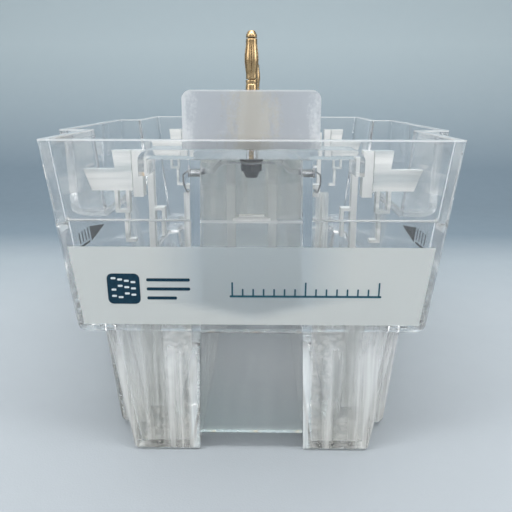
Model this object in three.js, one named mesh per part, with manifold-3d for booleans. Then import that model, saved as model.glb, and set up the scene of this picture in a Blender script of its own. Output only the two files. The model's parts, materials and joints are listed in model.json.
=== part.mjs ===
// Two-gel vertical electrophoresis tank, open top, without its lid.
// Millimetres. X is across the tank, Y runs along it with the labelled end at -Y, Z is up.
// The origin is on the standing surface, under the middle of the tank.
import * as THREE from 'three';
import { mergeVertices } from 'three/addons/utils/BufferGeometryUtils.js';
import Module from 'manifold-3d';

const wasm = await Module();
wasm.setup();

// ---- Driving dimensions ---------------------------------------------------------------------

const FIT = 0.3; // gap left between bonded or seated pieces

// Upper box: a drafted tray, open at the top
const RIM_HEIGHT = 125;
const LENGTH = 218.4;
const END_WIDTH = 146.2; // over the rim, at both ends
const APRON_HEIGHT = 52; // underside of the upper box
const SIDE_DRAFT = 0.1014; // how far a side wall leans out for each millimetre of height
const END_DRAFT = 0.0558; // the same for the two end walls
const WALL = 3;
const APRON_RADIUS = 3.6;
const RIM_CORNER_RADIUS = 1.5;

// Bulge that widens the middle of the upper box
const BULGE_WIDTH = 170.4;
const BULGE_INSET = 55.7; // from the front of the rim
const BULGE_HEIGHT = 39; // below the rim
const BULGE_DRAFT = 0.015;
const BULGE_RADIUS = 5;

// Legs: wide troughs in the middle, narrower at both ends
const LEG_SIDE_INSET = 15.5; // from the rim to the leg, at the floor
const LEG_INSET = 24; // from the front of the rim
const LEG_DRAFT = 0.1026;
const LEG_RADIUS = 3;
const LEG_END_SIDE_INSET = 25.4;
const LEG_END_INSET = 6;
const LEG_END_DRAFT = 0.154;
const LEG_END_RADIUS = 1.5;
const LEG_FLOOR = 3;

// Solid step along the inside of both end walls
const END_STEP_HEIGHT = 96;
const END_STEP_DEPTH = 9; // from the front of the rim to the face of the step

// Dry tunnel between the legs
const TUNNEL_WIDTH = 42.2; // between the leg faces at the floor
const TUNNEL_DRAFT = 0.028;
const TUNNEL_WALL = 3.5;
const TUNNEL_TOP = 121.4;
const ROOF = 3.1;
const TUNNEL_EDGE_RADIUS = 2;

// Tie panels that close the tunnel between the leg ends
const TIE_BOTTOM = 8.2;
const TIE_THICKNESS = 3;

// Bridges that carry the plugs
const BRIDGE_WIDTH = 78.8;
const BRIDGE_LENGTH = 16.3;
const BRIDGE_INSET = 3.7; // from the front of the rim
const BRIDGE_THICKNESS = 3.1;
const BRIDGE_LIP = 6;
const BRIDGE_RADIUS = 4;

// Frosted plates in front of the plugs
const GUARD_WIDTH = 47.2;
const GUARD_HEIGHT = 19.5;
const GUARD_THICKNESS = 2;
const GUARD_INSET = 3.7;
const GUARD_RADIUS = 3.2;

// Ribbed panels inside the tunnel, behind the plug nuts
const RIB_PANEL_INSET = 14.5;
const RIB_PANEL_THICKNESS = 2;
const RIB_PANEL_BOTTOM = 56;
const RIB_DEPTH = 1.4;
const RIB_OFFSET = 7.7;
const RIB_WIDTH = 3;
const RIB_TOP = 113.6;
const RIB_BOTTOM = 62;
const CROSSBAR_TOP = 96.4;
const CROSSBAR_HEIGHT = 2.6;

// Spring-cage plugs
const CONTACT_RADIUS = 2;
const CORE_RADIUS = 1.1;
const STUD_RADIUS = 1.45;
const STUD_LENGTH = 10;
const FLANGE_RADIUS = 3;
const FLANGE_HEIGHT = 2.2;
const SHOULDER_RADIUS = 2.7;
const SHOULDER_HEIGHT = 9;
const CONTACT_HEIGHT = 23.1; // top of the solid contact above the bridge
const CAGE_LENGTH = 13.5;
const TIP_HEIGHT = 2.3;
const TIP_STEP = 0.1; // how much slimmer the tip is than the contact
const CAGE_WALL = 0.45;
const CAGE_SPRING = 0.4; // how far the leaves stand out past the contact
const CAGE_CLEARANCE = 0.3;
const CAGE_SLOTS = 6;
const CAGE_SLOT_WIDTH = 0.5;

// Stack under each bridge
const WASHER_RADIUS = 4.1;
const WASHER_THICKNESS = 0.8;
const TERMINAL_RADIUS = 3.9;
const TERMINAL_THICKNESS = 0.6;
const TERMINAL_REACH = 8;
const TERMINAL_TAIL = 2.4;
const NUT_RADIUS = 4.2;
const NUT_HEIGHT = 2.2;
const NUT_DOME = 2.4;
const NUT_DOME_RADIUS = 2.1;

// Cassette guide stations, one in each corner; places across the tank are counted from the post
const STATION_INSET = 35; // from the front of the rim
const POST_WALL_GAP = 6.3; // from the post to the leg wall, at the floor
const POST_WIDTH = 4;
const POST_BOTTOM = 99.7;
const POST_DEPTH = 6;
const POST_PROUD = 1; // how far the post stands in front of the arm
const SLOT_WIDTH = 1.7; // between the post and the inner post
const INNER_POST_WIDTH = 2.4;
const INNER_POST_TOP = 116.3;
const INNER_POST_DEPTH = 5;
const PAD_WIDTH = 4;
const PAD_TOP = 95.1;
const PAD_BOTTOM = 84.5;
const PAD_WALL = 1.2;
const ARM_THICKNESS = 4;
const ARM_TOP = 118.3;
const ARM_STEP = 110.8;
const ARM_BOTTOM = 102.1;
const ARM_GAP = 0.6;
const ARM_STEP_REACH = 8.1;
const ARM_LEAN = 3;
const POCKET_REACH = 8.1;
const POCKET_WIDTH = 6;
const POCKET_BOTTOM = 92.9;
const POCKET_WALL = 1.3;
const HOOK_REACH = 4.2;
const HOOK_BOTTOM = 81.9;
const RAIL_TOP = 77;
const RAIL_DEPTH = 5;
const RAIL_WEB = 2;

// Wire clips on the wet side of the tunnel walls
const CLIP_REACH = 5;
const CLIP_HEIGHT = 5;
const CLIP_LENGTH = 4;
const CLIP_CENTRE_Z = 102.2;
const CLIP_SLOT = 1.4;
const CLIP_SLOT_DEPTH = 2.6;

// Electrodes and leads
const WIRE_RADIUS = 0.35;
const LEAD_RADIUS = 0.9;
const PIN_RADIUS = 1.2;
const PIN_HEAD_RADIUS = 2.2;
const PIN_HEAD = 1.2;
const CATHODE_PIN_Z = 113;
const CATHODE_PIN_INSET = 12.5;
const ANODE_PIN_Z = 10;
const ANODE_PIN_INSET = 13;
const ANODE_WIRE_Z = 6.5;
const ANODE_POST_INSET = 30;
const ANODE_POST_RADIUS = 1.6;

// Label film on the front wall
const LABEL_BOTTOM = 56.4;
const LABEL_TOP = 87;
const LABEL_THICKNESS = 0.3;
const LABEL_SIDE_MARGIN = 3.2;

const BEND_TENSION = 0.1;
const CORNER_STEPS = 4;
const EDGE_STEPS = 4;
const ROUND_STEPS = 24;

// ---- Values worked out from them ------------------------------------------------------------

const RIM_Y = LENGTH / 2;
const BRIDGE_BOTTOM = TUNNEL_TOP - BRIDGE_THICKNESS;
const BRIDGE_END = BRIDGE_INSET + BRIDGE_LENGTH;
const PLUG_INSET = GUARD_INSET + GUARD_THICKNESS + FIT + FLANGE_RADIUS;
const PLUG_Y = RIM_Y - PLUG_INSET;
const STATION_Y = RIM_Y - STATION_INSET;
const LEG_WIDTH = END_WIDTH - 2 * LEG_SIDE_INSET;
const LEG_END_WIDTH = END_WIDTH - 2 * LEG_END_SIDE_INSET;
const POST_OUTER = LEG_WIDTH / 2 - WALL - POST_WALL_GAP;
const POST_INNER = POST_OUTER - POST_WIDTH;
const INNER_POST_OUTER = POST_INNER - SLOT_WIDTH;
const INNER_POST_INNER = INNER_POST_OUTER - INNER_POST_WIDTH;
const CAGE_BULGE = CONTACT_RADIUS + CAGE_SPRING;
const TIP_RADIUS = CONTACT_RADIUS - TIP_STEP;

// Half-widths of drafted faces at a given height
const boxHalfWidth = (z) => END_WIDTH / 2 - SIDE_DRAFT * (RIM_HEIGHT - z);
const boxHalfLength = (z) => RIM_Y - END_DRAFT * (RIM_HEIGHT - z);
const bulgeHalfWidth = (z) => BULGE_WIDTH / 2 - BULGE_DRAFT * (RIM_HEIGHT - z);
const legHalfWidth = (z) => LEG_WIDTH / 2 + LEG_DRAFT * z;
const legEndHalfWidth = (z) => LEG_END_WIDTH / 2 + LEG_END_DRAFT * z;
const tunnelHalfWidth = (z) => TUNNEL_WIDTH / 2 - TUNNEL_DRAFT * z;
const tunnelWetFace = (z) => tunnelHalfWidth(z) + TUNNEL_WALL;

// ---- Materials ------------------------------------------------------------------------------

const clear = new THREE.MeshStandardMaterial({ color: 0xdfe9ee, roughness: 0.05, metalness: 0 });
const frosted = new THREE.MeshStandardMaterial({ color: 0xe9eef0, roughness: 0.6, metalness: 0 });
const film = new THREE.MeshStandardMaterial({ color: 0xf2f4f5, roughness: 0.5, metalness: 0 });
const gold = new THREE.MeshStandardMaterial({ color: 0xc9a24c, roughness: 0.25, metalness: 1 });
const darkNut = new THREE.MeshStandardMaterial({ color: 0x2c3036, roughness: 0.5, metalness: 0.6 });
const steel = new THREE.MeshStandardMaterial({ color: 0xb9bcc0, roughness: 0.3, metalness: 1 });
const rubber = new THREE.MeshStandardMaterial({ color: 0x1c1c1e, roughness: 0.8, metalness: 0 });
const insulation = new THREE.MeshStandardMaterial({ color: 0xd8d9d6, roughness: 0.5, metalness: 0 });

// ---- Small modelling helpers ----------------------------------------------------------------

const tank = new THREE.Group();

function addMesh(name, geometry, material) {
  const mesh = new THREE.Mesh(geometry, material);
  mesh.name = name;
  tank.add(mesh);
  return mesh;
}

// Closed geometry -> manifold solid
function toSolid(geometry) {
  const bare = geometry.clone();
  bare.deleteAttribute('normal');
  bare.deleteAttribute('uv');
  const merged = mergeVertices(bare, 1e-4);
  return new wasm.Manifold(new wasm.Mesh({
    numProp: 3,
    vertProperties: new Float32Array(merged.attributes.position.array),
    triVerts: new Uint32Array(merged.index.array),
  }));
}

// Manifold solid -> geometry
function toGeometry(solid) {
  const mesh = solid.getMesh();
  const geometry = new THREE.BufferGeometry();
  geometry.setAttribute('position', new THREE.BufferAttribute(new Float32Array(mesh.vertProperties), 3));
  geometry.setIndex(new THREE.BufferAttribute(new Uint32Array(mesh.triVerts), 1));
  geometry.computeVertexNormals();
  return geometry;
}

const join = (...parts) => parts.reduce((sum, part) => sum.add(part));

// Rectangle with rounded corners, counter-clockwise, centred on the origin
function roundedRing(halfX, halfY, radius) {
  const ring = [];
  const corners = [[1, 1, 0], [-1, 1, 90], [-1, -1, 180], [1, -1, 270]];
  for (const [sx, sy, start] of corners) {
    for (let step = 0; step <= CORNER_STEPS; step += 1) {
      const angle = THREE.MathUtils.degToRad(start + (90 * step) / CORNER_STEPS);
      const x = sx * (halfX - radius) + radius * Math.cos(angle);
      const y = sy * (halfY - radius) + radius * Math.sin(angle);
      ring.push([x, y]);
    }
  }
  return ring;
}

// Closed solid through a stack of rings that all have the same number of points
function loft(levels) {
  const positions = levels.flatMap(({ z, ring }) => ring.flatMap(([x, y]) => [x, y, z]));
  const count = levels[0].ring.length;
  const top = (levels.length - 1) * count;
  const index = [];
  for (let level = 0; level < levels.length - 1; level += 1) {
    for (let i = 0; i < count; i += 1) {
      const next = (i + 1) % count;
      const a = level * count + i;
      const b = level * count + next;
      index.push(a, b, b + count, a, b + count, a + count);
    }
  }
  const cap = THREE.ShapeUtils.triangulateShape(levels[0].ring.map(([x, y]) => new THREE.Vector2(x, y)), []);
  for (const [a, b, c] of cap) {
    index.push(a, c, b, top + a, top + b, top + c);
  }
  const geometry = new THREE.BufferGeometry();
  geometry.setAttribute('position', new THREE.Float32BufferAttribute(positions, 3));
  geometry.setIndex(index);
  return geometry;
}

// Drafted box with a rounded bottom edge; halfX and halfY are functions of height
function draftedBox({ from, to, halfX, halfY, edge, corner }) {
  const levels = [];
  for (let step = 0; step <= EDGE_STEPS; step += 1) {
    const angle = (Math.PI / 2) * (step / EDGE_STEPS);
    const z = from + edge * (1 - Math.cos(angle));
    const inset = edge * (1 - Math.sin(angle));
    levels.push({ z, ring: roundedRing(halfX(z) - inset, halfY(z) - inset, corner) });
  }
  levels.push({ z: to, ring: roundedRing(halfX(to), halfY(to), corner) });
  return toSolid(loft(levels));
}

// Box between two corners
function block(x0, x1, y0, y1, z0, z1) {
  const geometry = new THREE.BoxGeometry(Math.abs(x1 - x0), Math.abs(y1 - y0), Math.abs(z1 - z0));
  return geometry.translate((x0 + x1) / 2, (y0 + y1) / 2, (z0 + z1) / 2);
}

// Outline in X and Z, as thick as y0 to y1
function plate(outline, y0, y1) {
  const shape = outline instanceof THREE.Shape
    ? outline
    : new THREE.Shape(outline.map(([x, z]) => new THREE.Vector2(x, z)));
  const low = Math.min(y0, y1);
  const high = Math.max(y0, y1);
  const geometry = new THREE.ExtrudeGeometry(shape, {
    depth: high - low,
    bevelEnabled: false,
    curveSegments: CORNER_STEPS,
  });
  return geometry.rotateX(Math.PI / 2).translate(0, high, 0);
}

// Turned piece about the vertical axis through (0, y); profile is a list of [radius, z]
function turned(profile, y, steps = ROUND_STEPS) {
  const points = profile.map(([radius, z]) => new THREE.Vector2(radius, z));
  return new THREE.LatheGeometry(points, steps).rotateX(Math.PI / 2).translate(0, y, 0);
}

// Round wire along a list of points, with its bends rounded
function wire(points, radius, steps) {
  const corners = points.map(([x, y, z]) => new THREE.Vector3(x, y, z));
  const path = new THREE.CatmullRomCurve3(corners, false, 'catmullrom', BEND_TENSION);
  const section = new THREE.Shape();
  section.absarc(0, 0, radius, 0, Math.PI * 2, false);
  return new THREE.ExtrudeGeometry(section, { steps, curveSegments: 4, extrudePath: path });
}

// ---- Tank body ------------------------------------------------------------------------------

function tankBody() {
  const box = draftedBox({
    from: APRON_HEIGHT, to: RIM_HEIGHT, halfX: boxHalfWidth, halfY: boxHalfLength,
    edge: APRON_RADIUS, corner: RIM_CORNER_RADIUS,
  });
  const bulge = draftedBox({
    from: RIM_HEIGHT - BULGE_HEIGHT, to: RIM_HEIGHT, halfX: bulgeHalfWidth, halfY: () => RIM_Y - BULGE_INSET,
    edge: BULGE_RADIUS, corner: BULGE_RADIUS / 2,
  });
  const legs = draftedBox({
    from: 0, to: APRON_HEIGHT + 2 * WALL, halfX: legHalfWidth, halfY: () => RIM_Y - LEG_INSET,
    edge: LEG_RADIUS, corner: LEG_RADIUS,
  });
  const legEnds = draftedBox({
    from: 0, to: APRON_HEIGHT + 2 * WALL, halfX: legEndHalfWidth, halfY: () => RIM_Y - LEG_END_INSET,
    edge: LEG_END_RADIUS, corner: LEG_END_RADIUS,
  });

  const above = RIM_HEIGHT + 1;
  const upperHollow = draftedBox({
    from: END_STEP_HEIGHT, to: above,
    halfX: (z) => boxHalfWidth(z) - WALL, halfY: (z) => boxHalfLength(z) - WALL,
    edge: WALL / 4, corner: RIM_CORNER_RADIUS,
  });
  const lowerHollow = draftedBox({
    from: APRON_HEIGHT + WALL, to: END_STEP_HEIGHT + WALL,
    halfX: (z) => boxHalfWidth(z) - WALL, halfY: () => RIM_Y - END_STEP_DEPTH,
    edge: APRON_RADIUS / 2, corner: RIM_CORNER_RADIUS,
  });
  const bulgeHollow = draftedBox({
    from: RIM_HEIGHT - BULGE_HEIGHT + WALL, to: above,
    halfX: (z) => bulgeHalfWidth(z) - WALL, halfY: () => RIM_Y - BULGE_INSET - WALL,
    edge: BULGE_RADIUS / 2, corner: BULGE_RADIUS / 4,
  });
  const legHollow = draftedBox({
    from: LEG_FLOOR, to: APRON_HEIGHT + 2 * WALL,
    halfX: (z) => legHalfWidth(z) - WALL, halfY: () => RIM_Y - LEG_INSET - WALL,
    edge: LEG_RADIUS / 2, corner: LEG_RADIUS / 2,
  });
  const legEndHollow = draftedBox({
    from: LEG_FLOOR, to: APRON_HEIGHT + 2 * WALL,
    halfX: (z) => legEndHalfWidth(z) - WALL, halfY: () => RIM_Y - LEG_END_INSET - WALL,
    edge: LEG_END_RADIUS / 2, corner: LEG_END_RADIUS / 2,
  });

  const tunnelShape = [
    [-tunnelWetFace(-1), -1],
    [tunnelWetFace(-1), -1],
    [tunnelWetFace(TUNNEL_TOP), TUNNEL_TOP - TUNNEL_EDGE_RADIUS],
    [tunnelWetFace(TUNNEL_TOP) - TUNNEL_EDGE_RADIUS, TUNNEL_TOP],
    [-tunnelWetFace(TUNNEL_TOP) + TUNNEL_EDGE_RADIUS, TUNNEL_TOP],
    [-tunnelWetFace(TUNNEL_TOP), TUNNEL_TOP - TUNNEL_EDGE_RADIUS],
  ];
  const tunnelBlock = toSolid(plate(tunnelShape, -RIM_Y - 1, RIM_Y + 1));
  const tunnelVoid = draftedBox({
    from: -1, to: TUNNEL_TOP - ROOF,
    halfX: tunnelHalfWidth, halfY: (z) => boxHalfLength(z) - WALL,
    edge: 0.01, corner: 0.5,
  });
  const legGap = draftedBox({
    from: -1, to: APRON_HEIGHT,
    halfX: tunnelHalfWidth, halfY: () => RIM_Y + 1,
    edge: 0.01, corner: 0.5,
  });

  const hollow = join(upperHollow, lowerHollow, bulgeHollow, legHollow, legEndHollow).subtract(tunnelBlock);
  let body = join(box, bulge, legs, legEnds).subtract(hollow).subtract(tunnelVoid).subtract(legGap);

  // Seats for the two bridges, and the holes for the four feed-through pins
  const seatReach = tunnelWetFace(TUNNEL_TOP) + 1;
  const seatStart = boxHalfLength(BRIDGE_BOTTOM) - WALL;
  for (const end of [-1, 1]) {
    const seat = block(-seatReach, seatReach, end * seatStart, end * (RIM_Y - BRIDGE_END - FIT),
      BRIDGE_BOTTOM - FIT, TUNNEL_TOP + 1);
    body = body.subtract(toSolid(seat));
    const { z, y } = pinPlace(end);
    for (const side of [-1, 1]) {
      const hole = new THREE.CylinderGeometry(PIN_RADIUS + FIT, PIN_RADIUS + FIT, 3 * TUNNEL_WALL, 16);
      hole.rotateZ(Math.PI / 2).translate(side * (tunnelHalfWidth(z) + TUNNEL_WALL / 2), y, z);
      body = body.subtract(toSolid(hole));
    }
  }
  return toGeometry(body);
}

// Feed-through pins: cathode pins high at the front, anode pins low at the rear
function pinPlace(end) {
  return end < 0
    ? { z: CATHODE_PIN_Z, y: -(RIM_Y - CATHODE_PIN_INSET) }
    : { z: ANODE_PIN_Z, y: RIM_Y - ANODE_PIN_INSET };
}

addMesh('tank_body', tankBody(), clear);

// ---- Tie panels, bridges, ribbed panels and guards ------------------------------------------

function tiePanel(end) {
  const face = RIM_Y - LEG_END_INSET;
  const low = tunnelHalfWidth(TIE_BOTTOM) - FIT;
  const top = APRON_HEIGHT - FIT;
  const high = tunnelHalfWidth(top) - FIT;
  return plate([[-low, TIE_BOTTOM], [low, TIE_BOTTOM], [high, top], [-high, top]],
    end * face, end * (face - TIE_THICKNESS));
}

// Plate with its two ends turned down, and a hole for the plug stud
function bridge(end) {
  const half = BRIDGE_WIDTH / 2;
  const inner = half - BRIDGE_THICKNESS;
  const centre = TUNNEL_TOP - BRIDGE_RADIUS;
  const shape = new THREE.Shape();
  shape.moveTo(-half, BRIDGE_BOTTOM - BRIDGE_LIP);
  shape.lineTo(-inner, BRIDGE_BOTTOM - BRIDGE_LIP);
  shape.lineTo(-inner, BRIDGE_BOTTOM);
  shape.lineTo(inner, BRIDGE_BOTTOM);
  shape.lineTo(inner, BRIDGE_BOTTOM - BRIDGE_LIP);
  shape.lineTo(half, BRIDGE_BOTTOM - BRIDGE_LIP);
  shape.lineTo(half, centre);
  shape.absarc(half - BRIDGE_RADIUS, centre, BRIDGE_RADIUS, 0, Math.PI / 2, false);
  shape.lineTo(-half + BRIDGE_RADIUS, TUNNEL_TOP);
  shape.absarc(-half + BRIDGE_RADIUS, centre, BRIDGE_RADIUS, Math.PI / 2, Math.PI, false);
  const solid = toSolid(plate(shape, end * (RIM_Y - BRIDGE_INSET), end * (RIM_Y - BRIDGE_END)));
  const bore = STUD_RADIUS + FIT;
  const hole = new THREE.CylinderGeometry(bore, bore, 3 * BRIDGE_THICKNESS, ROUND_STEPS);
  hole.rotateX(Math.PI / 2).translate(0, end * PLUG_Y, TUNNEL_TOP);
  return toGeometry(solid.subtract(toSolid(hole)));
}

function ribPanel(end) {
  const back = RIM_Y - RIB_PANEL_INSET - RIB_PANEL_THICKNESS;
  const face = RIM_Y - RIB_PANEL_INSET;
  const ribFace = face + RIB_DEPTH;
  const top = BRIDGE_BOTTOM - FIT;
  const low = tunnelHalfWidth(RIB_PANEL_BOTTOM) - FIT;
  const high = tunnelHalfWidth(top) - FIT;
  const sheet = plate([[-low, RIB_PANEL_BOTTOM], [low, RIB_PANEL_BOTTOM], [high, top], [-high, top]],
    end * back, end * face);
  const ribRoot = face - RIB_PANEL_THICKNESS / 2;
  const ribs = [-1, 1].map((side) => toSolid(block(
    side * (RIB_OFFSET - RIB_WIDTH / 2), side * (RIB_OFFSET + RIB_WIDTH / 2),
    end * ribRoot, end * ribFace, RIB_BOTTOM, RIB_TOP,
  )));
  const crossbar = toSolid(block(
    -RIB_OFFSET, RIB_OFFSET, end * ribRoot, end * ribFace, CROSSBAR_TOP - CROSSBAR_HEIGHT, CROSSBAR_TOP,
  ));
  return toGeometry(join(toSolid(sheet), ...ribs, crossbar));
}

function plugGuard(end) {
  const half = GUARD_WIDTH / 2;
  const bottom = TUNNEL_TOP + FIT;
  const top = bottom + GUARD_HEIGHT;
  const shape = new THREE.Shape();
  shape.moveTo(-half, bottom);
  shape.lineTo(half, bottom);
  shape.absarc(half - GUARD_RADIUS, top - GUARD_RADIUS, GUARD_RADIUS, 0, Math.PI / 2, false);
  shape.absarc(-half + GUARD_RADIUS, top - GUARD_RADIUS, GUARD_RADIUS, Math.PI / 2, Math.PI, false);
  return plate(shape, end * (RIM_Y - GUARD_INSET), end * (RIM_Y - GUARD_INSET - GUARD_THICKNESS));
}

// ---- Plugs ----------------------------------------------------------------------------------

const PLUG_BASE = TUNNEL_TOP + FIT;
const CONTACT_TOP = TUNNEL_TOP + CONTACT_HEIGHT;
const CAGE_TOP = CONTACT_TOP + CAGE_LENGTH;

function plugPin(end) {
  const studBottom = TUNNEL_TOP - STUD_LENGTH;
  return turned([
    [0, studBottom],
    [STUD_RADIUS, studBottom],
    [STUD_RADIUS, PLUG_BASE],
    [FLANGE_RADIUS, PLUG_BASE],
    [FLANGE_RADIUS, PLUG_BASE + FLANGE_HEIGHT],
    [SHOULDER_RADIUS, PLUG_BASE + FLANGE_HEIGHT],
    [SHOULDER_RADIUS, PLUG_BASE + FLANGE_HEIGHT + SHOULDER_HEIGHT],
    [CONTACT_RADIUS, PLUG_BASE + FLANGE_HEIGHT + SHOULDER_HEIGHT],
    [CONTACT_RADIUS, CONTACT_TOP],
    [CORE_RADIUS, CONTACT_TOP],
    [CORE_RADIUS, CAGE_TOP],
    [TIP_RADIUS, CAGE_TOP],
    [TIP_RADIUS, CAGE_TOP + TIP_HEIGHT / 2],
    [TIP_RADIUS / 2, CAGE_TOP + TIP_HEIGHT],
    [0, CAGE_TOP + TIP_HEIGHT],
  ], end * PLUG_Y);
}

// Lantern cage: a bulged sleeve, slotted into leaves between its two end rings
function plugCage(end) {
  const inner = CORE_RADIUS + CAGE_CLEARANCE;
  const from = CONTACT_TOP + CAGE_CLEARANCE;
  const length = CAGE_LENGTH - 2 * CAGE_CLEARANCE;
  const outside = [];
  const inside = [];
  const stations = 10;
  for (let i = 0; i <= stations; i += 1) {
    const share = i / stations;
    const swell = Math.sin(Math.PI * share) ** 2;
    const radius = inner + CAGE_WALL + (CAGE_BULGE - inner - CAGE_WALL) * swell;
    outside.push([radius, from + length * share]);
    inside.unshift([radius - CAGE_WALL, from + length * share]);
  }
  const sleeve = toSolid(turned([...outside, ...inside, outside[0]], 0));
  let cage = sleeve;
  for (let i = 0; i < CAGE_SLOTS; i += 1) {
    const slot = block(0, 2 * CAGE_BULGE, -CAGE_SLOT_WIDTH / 2, CAGE_SLOT_WIDTH / 2,
      from + length * 0.14, from + length * 0.86);
    cage = cage.subtract(toSolid(slot.rotateZ((2 * Math.PI * i) / CAGE_SLOTS)));
  }
  return toGeometry(cage).translate(0, end * PLUG_Y, 0);
}

const WASHER_TOP = BRIDGE_BOTTOM - FIT;
const TERMINAL_TOP = WASHER_TOP - WASHER_THICKNESS - FIT;
const NUT_TOP = TERMINAL_TOP - TERMINAL_THICKNESS - FIT;
const STUD_CLEARANCE = STUD_RADIUS + FIT;

function plugWasher(end) {
  const bottom = WASHER_TOP - WASHER_THICKNESS;
  return turned([
    [STUD_CLEARANCE, bottom], [WASHER_RADIUS, bottom], [WASHER_RADIUS, WASHER_TOP],
    [STUD_CLEARANCE, WASHER_TOP], [STUD_CLEARANCE, bottom],
  ], end * PLUG_Y);
}

// Ring terminal with a crimp tail to each side
function ringTerminal(end) {
  const bottom = TERMINAL_TOP - TERMINAL_THICKNESS;
  const disc = turned([
    [0, bottom], [TERMINAL_RADIUS, bottom], [TERMINAL_RADIUS, TERMINAL_TOP], [0, TERMINAL_TOP],
  ], 0);
  const halfTail = TERMINAL_TAIL / 2;
  const tails = block(-TERMINAL_REACH, TERMINAL_REACH, -halfTail, halfTail, bottom, TERMINAL_TOP);
  const hole = turned([
    [0, bottom - 1], [STUD_CLEARANCE, bottom - 1], [STUD_CLEARANCE, TERMINAL_TOP + 1], [0, TERMINAL_TOP + 1],
  ], 0);
  const solid = join(toSolid(disc), toSolid(tails)).subtract(toSolid(hole));
  return toGeometry(solid).translate(0, end * PLUG_Y, 0);
}

// Six-sided nut with a domed, closed-looking end; the stud passes through it
function lockNut(end) {
  const bottom = NUT_TOP - NUT_HEIGHT;
  const hexagon = turned([[0, bottom], [NUT_RADIUS, bottom], [NUT_RADIUS, NUT_TOP], [0, NUT_TOP]], 0, 6);
  const dome = turned([
    [0, bottom - NUT_DOME], [NUT_DOME_RADIUS, bottom - NUT_DOME],
    [NUT_RADIUS * 0.8, bottom + NUT_HEIGHT / 4], [0, bottom + NUT_HEIGHT / 4],
  ], 0);
  const hole = turned([
    [0, bottom - NUT_DOME - 1], [STUD_CLEARANCE, bottom - NUT_DOME - 1],
    [STUD_CLEARANCE, NUT_TOP + 1], [0, NUT_TOP + 1],
  ], 0);
  const solid = join(toSolid(hexagon), toSolid(dome)).subtract(toSolid(hole));
  return toGeometry(solid).translate(0, end * PLUG_Y, 0);
}

const ends = [['front', -1], ['rear', 1]];
const sides = [['left', -1], ['right', 1]];

for (const [endName, end] of ends) {
  addMesh(`${endName}_tie_panel`, tiePanel(end), clear);
  addMesh(`${endName}_bridge`, bridge(end), clear);
  addMesh(`${endName}_rib_panel`, ribPanel(end), clear);
  addMesh(`${endName}_plug_guard`, plugGuard(end), frosted);
  addMesh(`${endName}_plug_pin`, plugPin(end), gold);
  addMesh(`${endName}_plug_cage`, plugCage(end), gold);
  addMesh(`${endName}_plug_washer`, plugWasher(end), rubber);
  addMesh(`${endName}_ring_terminal`, ringTerminal(end), steel);
  addMesh(`${endName}_lock_nut`, lockNut(end), darkNut);
}

// ---- Cassette guide stations ----------------------------------------------------------------

// Stepped arm that reaches in from the side wall, with a pocket and a hook hanging from it
function guideArm(side, end) {
  const y0 = end * STATION_Y;
  const y1 = end * (STATION_Y - ARM_THICKNESS);
  const tip = boxHalfWidth(ARM_STEP) - WALL - FIT;
  const armInner = POST_OUTER + ARM_GAP;
  const stepX = POST_OUTER + ARM_STEP_REACH;
  const arm = [
    [tip, ARM_STEP],
    [tip - ARM_LEAN, ARM_BOTTOM],
    [armInner, ARM_BOTTOM],
    [armInner, ARM_TOP],
    [stepX, ARM_TOP],
    [stepX - ARM_LEAN / 4, ARM_STEP],
  ];
  const pocketOuter = POST_OUTER + POCKET_REACH;
  const pocketInner = pocketOuter - POCKET_WIDTH;
  const pocket = [
    [pocketOuter, ARM_BOTTOM + 1],
    [pocketOuter, POCKET_BOTTOM],
    [pocketInner, POCKET_BOTTOM],
    [pocketInner, ARM_BOTTOM + 1],
    [pocketInner + POCKET_WALL, ARM_BOTTOM + 1],
    [pocketInner + POCKET_WALL, POCKET_BOTTOM + POCKET_WALL],
    [pocketOuter - POCKET_WALL, POCKET_BOTTOM + POCKET_WALL],
    [pocketOuter - POCKET_WALL, ARM_BOTTOM + 1],
  ];
  const hookOuter = POST_OUTER + HOOK_REACH;
  const hook = [
    [hookOuter, POCKET_BOTTOM + POCKET_WALL / 2],
    [hookOuter, HOOK_BOTTOM],
    [POST_OUTER, HOOK_BOTTOM],
    [POST_OUTER, HOOK_BOTTOM + POCKET_WALL],
    [hookOuter - POCKET_WALL, HOOK_BOTTOM + POCKET_WALL],
    [hookOuter - POCKET_WALL, POCKET_BOTTOM + POCKET_WALL / 2],
  ];
  const parts = [arm, pocket, hook].map((outline) => (
    toSolid(plate(outline.map(([x, z]) => [side * x, z]), y0, y1))
  ));
  return toGeometry(join(...parts));
}

function post(side, end) {
  const face = STATION_Y + POST_PROUD;
  return block(
    side * POST_OUTER, side * POST_INNER, end * face, end * (face - POST_DEPTH), POST_BOTTOM, ARM_TOP,
  );
}

// Slender inner post that stands on the rail, with a hooked pad frame on its inner side
function innerPost(side, end) {
  const y0 = end * STATION_Y;
  const y1 = end * (STATION_Y - INNER_POST_DEPTH);
  const padInner = INNER_POST_INNER - PAD_WIDTH;
  const outlines = [
    [[INNER_POST_OUTER, RAIL_TOP + FIT], [INNER_POST_INNER, RAIL_TOP + FIT],
      [INNER_POST_INNER, INNER_POST_TOP], [INNER_POST_OUTER, INNER_POST_TOP]],
    [[INNER_POST_INNER + 1, PAD_TOP], [padInner, PAD_TOP], [padInner, PAD_BOTTOM],
      [padInner + PAD_WALL, PAD_BOTTOM], [padInner + PAD_WALL, PAD_TOP - PAD_WALL],
      [INNER_POST_INNER + 1, PAD_TOP - PAD_WALL]],
  ];
  const parts = outlines.map((outline) => toSolid(plate(outline.map(([x, z]) => [side * x, z]), y0, y1)));
  return toGeometry(join(...parts));
}

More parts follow.
